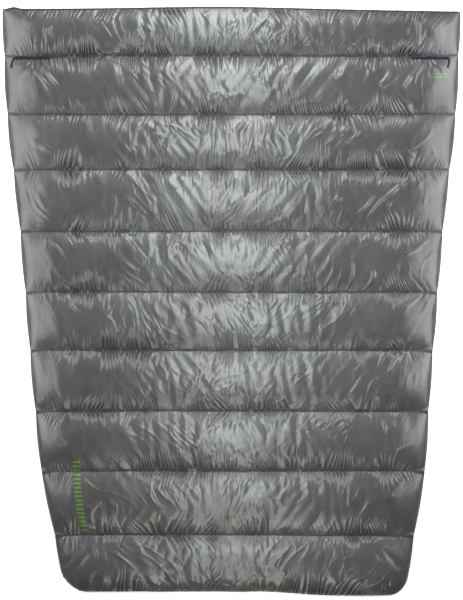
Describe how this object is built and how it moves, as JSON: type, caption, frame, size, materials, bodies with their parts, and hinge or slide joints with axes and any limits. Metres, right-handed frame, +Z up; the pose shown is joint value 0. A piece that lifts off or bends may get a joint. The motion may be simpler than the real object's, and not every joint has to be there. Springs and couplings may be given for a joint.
{
  "type": "camp quilt",
  "caption": "Wide tapered camp quilt lying flat: padded chambers that fold at their stitched seams, foot pocket, short neck straps.",
  "frame": {"origin": "under the middle of the quilt, on the plane that it lies on", "axes": "+X across the quilt to the right as seen from above, +Y towards the head, +Z up through the padding"},
  "size_m": [1.4988, 1.9313, 0.039],
  "materials": {
    "shell_fabric": "glossy thin ripstop, silvery grey",
    "lining_fabric": "soft satin, dark grey",
    "down": "matte loose fill",
    "thread": "matte thread",
    "binding_tape": "matte tape",
    "strap_webbing": "matte flat webbing, dark violet",
    "snap_plastic": "moulded"
  },
  "bodies": {
    "neck": {"shell_panel_1": "shell_fabric", "lining_panel_1": "lining_fabric", "down_fill_1": "down", "side_tubes_1": "down", "head_binding": "binding_tape"},
    "chamber_2": {"shell_panel_2": "shell_fabric", "lining_panel_2": "lining_fabric", "down_fill_2": "down", "side_tubes_2": "down", "seam_thread_1": "thread"},
    "chamber_3": {"shell_panel_3": "shell_fabric", "lining_panel_3": "lining_fabric", "down_fill_3": "down", "side_tubes_3": "down", "seam_thread_2": "thread"},
    "chamber_4": {"shell_panel_4": "shell_fabric", "lining_panel_4": "lining_fabric", "down_fill_4": "down", "side_tubes_4": "down", "seam_thread_3": "thread"},
    "chamber_5": {"shell_panel_5": "shell_fabric", "lining_panel_5": "lining_fabric", "down_fill_5": "down", "side_tubes_5": "down", "seam_thread_4": "thread", "seam_thread_5": "thread"},
    "chamber_6": {"shell_panel_6": "shell_fabric", "lining_panel_6": "lining_fabric", "down_fill_6": "down", "side_tubes_6": "down", "seam_thread_6": "thread"},
    "chamber_7": {"shell_panel_7": "shell_fabric", "lining_panel_7": "lining_fabric", "down_fill_7": "down", "side_tubes_7": "down", "seam_thread_7": "thread"},
    "chamber_8": {"shell_panel_8": "shell_fabric", "lining_panel_8": "lining_fabric", "down_fill_8": "down", "side_tubes_8": "down", "seam_thread_8": "thread"},
    "foot": {"shell_panel_9": "shell_fabric", "lining_panel_9": "lining_fabric", "down_fill_9": "down", "side_tubes_9": "down", "shell_panel_10": "shell_fabric", "lining_panel_10": "lining_fabric", "down_fill_10": "down", "side_tubes_10": "down", "seam_thread_9": "thread", "pocket_shell": "shell_fabric", "pocket_down": "down", "pocket_lining": "lining_fabric", "pocket_wall_left": "lining_fabric", "pocket_wall_right": "lining_fabric", "pocket_wall_foot": "lining_fabric"},
    "strap_left": {"neck_strap_left": "strap_webbing", "strap_socket": "snap_plastic"},
    "strap_right": {"neck_strap_right": "strap_webbing", "strap_stud": "snap_plastic"}
  },
  "joints": [
    {"name": "seam_1", "type": "hinge", "parent": "chamber_2", "child": "neck", "pos_m": [0, 0.80835, 0.018], "axis": [1, 0, 0], "range_deg": [-35, 35]},
    {"name": "seam_2", "type": "hinge", "parent": "chamber_3", "child": "chamber_2", "pos_m": [0, 0.61435, 0.018], "axis": [1, 0, 0], "range_deg": [-35, 35]},
    {"name": "seam_3", "type": "hinge", "parent": "chamber_4", "child": "chamber_3", "pos_m": [0, 0.43035, 0.018], "axis": [1, 0, 0], "range_deg": [-35, 35]},
    {"name": "seam_4", "type": "hinge", "parent": "chamber_5", "child": "chamber_4", "pos_m": [0, 0.22735, 0.018], "axis": [1, 0, 0], "range_deg": [-35, 35]},
    {"name": "seam_5", "type": "hinge", "parent": "chamber_5", "child": "chamber_6", "pos_m": [0, 0.02535, 0.018], "axis": [-1, 0, 0], "range_deg": [-35, 35]},
    {"name": "seam_6", "type": "hinge", "parent": "chamber_6", "child": "chamber_7", "pos_m": [0, -0.16665, 0.018], "axis": [-1, 0, 0], "range_deg": [-35, 35]},
    {"name": "seam_7", "type": "hinge", "parent": "chamber_7", "child": "chamber_8", "pos_m": [0, -0.36865, 0.018], "axis": [-1, 0, 0], "range_deg": [-35, 35]},
    {"name": "seam_8", "type": "hinge", "parent": "chamber_8", "child": "foot", "pos_m": [0, -0.56665, 0.018], "axis": [-1, 0, 0], "range_deg": [-35, 35]},
    {"name": "strap_left_flip", "type": "hinge", "parent": "chamber_2", "child": "strap_left", "pos_m": [-0.592, 0.79935, 0.025], "axis": [0, 1, 0], "range_deg": [0, 150]},
    {"name": "strap_right_flip", "type": "hinge", "parent": "chamber_2", "child": "strap_right", "pos_m": [0.592, 0.79935, 0.025], "axis": [0, -1, 0], "range_deg": [0, 150]}
  ]
}
